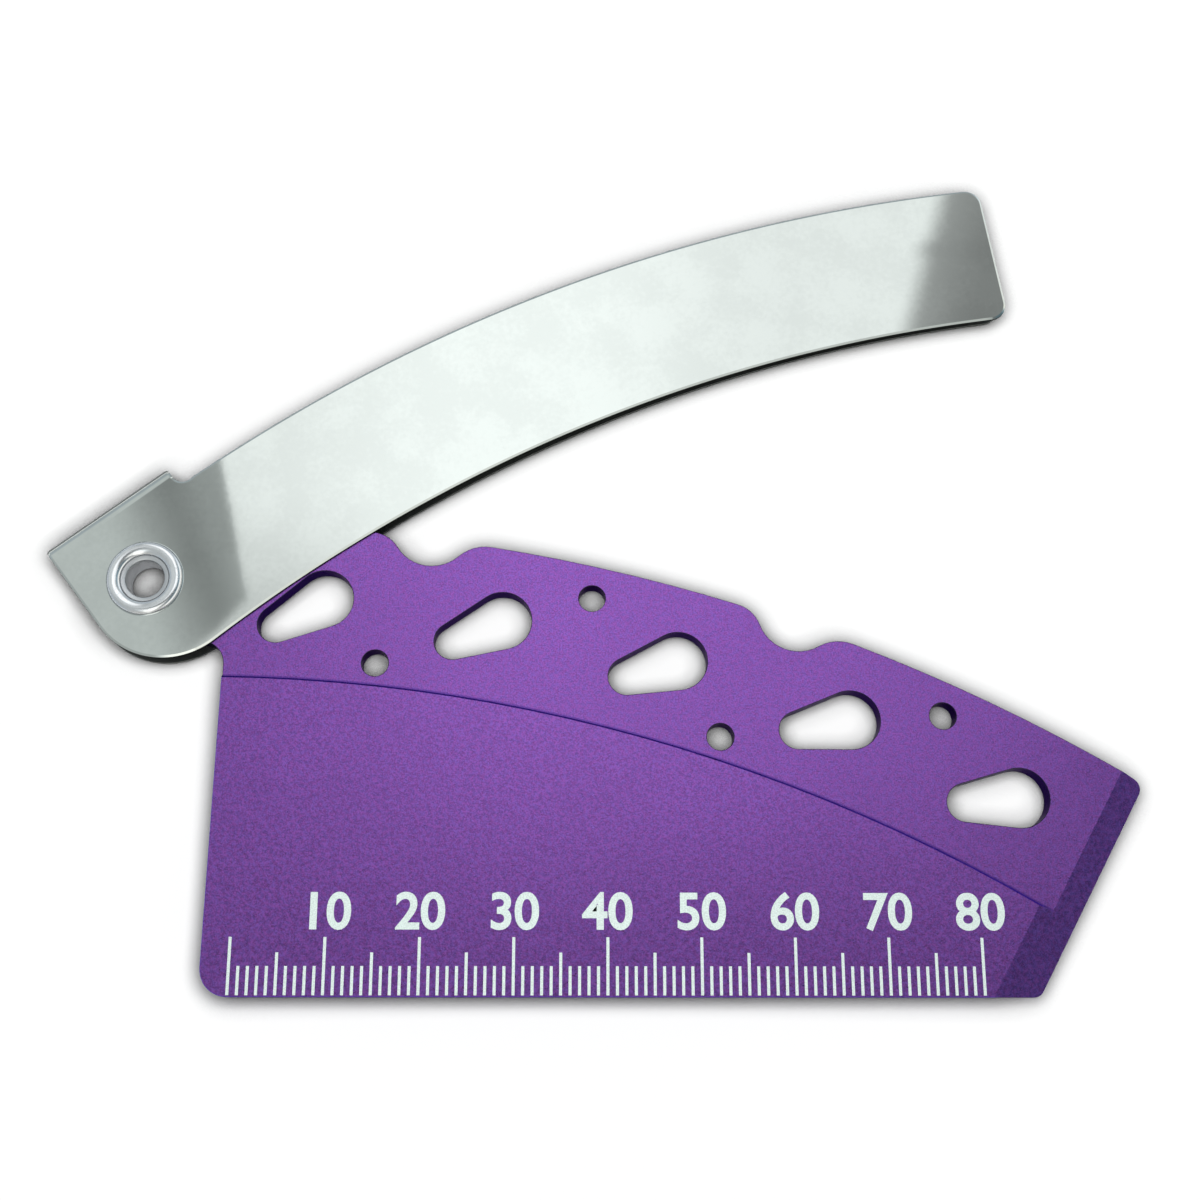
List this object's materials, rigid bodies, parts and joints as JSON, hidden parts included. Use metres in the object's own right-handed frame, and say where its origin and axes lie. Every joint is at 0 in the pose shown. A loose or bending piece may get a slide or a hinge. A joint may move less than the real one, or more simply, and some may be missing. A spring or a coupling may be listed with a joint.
{
  "type": "pad spacing gauge",
  "caption": "Flat folding gauge: a perforated anodised plate with a stepped curved band and a wedge end, and a folded pair of curved spring-steel feeler leaves on a hollow rivet.",
  "frame": {"origin": "centre of the rivet's bore, at mid-thickness of the plate", "axes": "+Z along the rivet, out of the plate's face; +X along the plate's long straight edge, from the rivet's end to the wedge; +Y across the plate, from the straight edge to the notched edge"},
  "size_m": [0.1225, 0.0962, 0.0046],
  "materials": {
    "anodised_plate": "purple anodised over a fine bead-blasted surface",
    "spring_steel": "polished, bright rolled",
    "rivet_metal": "bright nickel plate"
  },
  "bodies": {
    "plate": {"body_plate": "anodised_plate"},
    "blades": {"feeler_blades": "spring_steel", "pivot_eyelet": "rivet_metal"}
  },
  "joints": [
    {"name": "blade_pivot", "type": "hinge", "parent": "plate", "child": "blades", "pos_m": [0, 0, 0], "axis": [0, 0, 1], "range_deg": [-38.2, 149]}
  ]
}
